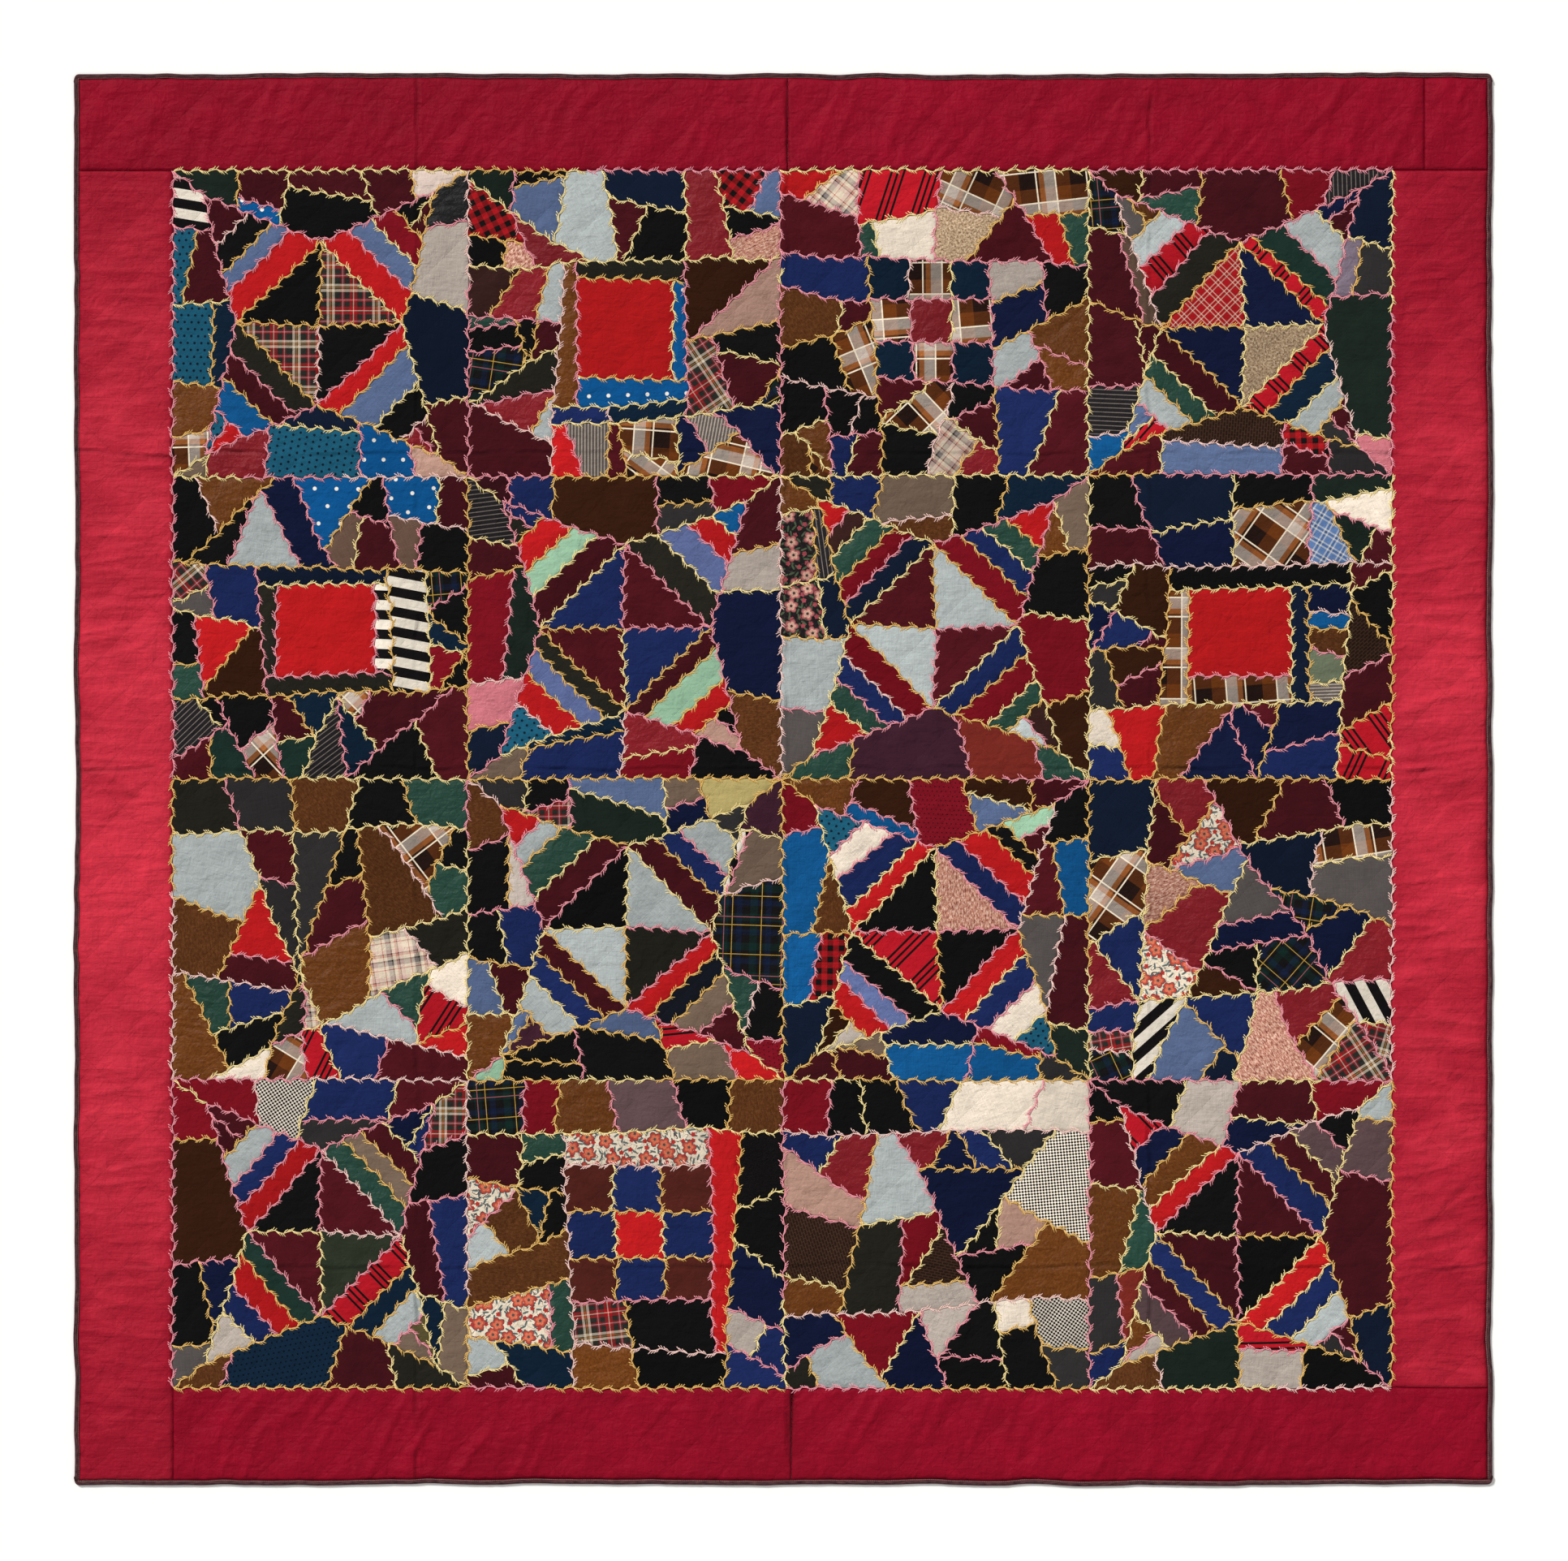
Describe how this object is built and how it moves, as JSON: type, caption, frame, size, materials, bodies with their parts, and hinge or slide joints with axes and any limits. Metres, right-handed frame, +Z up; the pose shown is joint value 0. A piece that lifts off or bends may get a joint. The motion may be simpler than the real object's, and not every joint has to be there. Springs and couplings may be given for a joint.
{
  "type": "crazy quilt",
  "caption": "Square pieced bed quilt lying flat, its blocks of irregular cloth patches edged with feather stitching, framed by a plain border and a narrow binding.",
  "frame": {"origin": "middle of the underside, at floor level", "axes": "+Z up out of the patchwork face, +Y towards the top edge of the quilt as it is looked down on, +X to its right"},
  "size_m": [1.748, 1.7399, 0.0068],
  "materials": {
    "patchwork": "woven wool, silk and cotton patches, matt to satin",
    "border_cloth": "crimson cotton sateen, soft wrinkled",
    "binding_tape": "slubby plum cotton, matt"
  },
  "bodies": {
    "root": {"block_r1c1": "patchwork", "block_r1c2": "patchwork", "block_r1c3": "patchwork", "block_r1c4": "patchwork", "block_r2c1": "patchwork", "block_r2c2": "patchwork", "block_r2c3": "patchwork", "block_r2c4": "patchwork", "block_r3c1": "patchwork", "block_r3c2": "patchwork", "block_r3c3": "patchwork", "block_r3c4": "patchwork", "block_r4c1": "patchwork", "block_r4c2": "patchwork", "block_r4c3": "patchwork", "block_r4c4": "patchwork", "border_top_left": "border_cloth", "border_top_right": "border_cloth", "border_top_end": "border_cloth", "border_left": "border_cloth", "border_bottom_left": "border_cloth", "border_bottom_right": "border_cloth", "border_right": "border_cloth", "binding_top": "binding_tape", "binding_right": "binding_tape", "binding_bottom": "binding_tape", "binding_left": "binding_tape"}
  },
  "joints": []
}
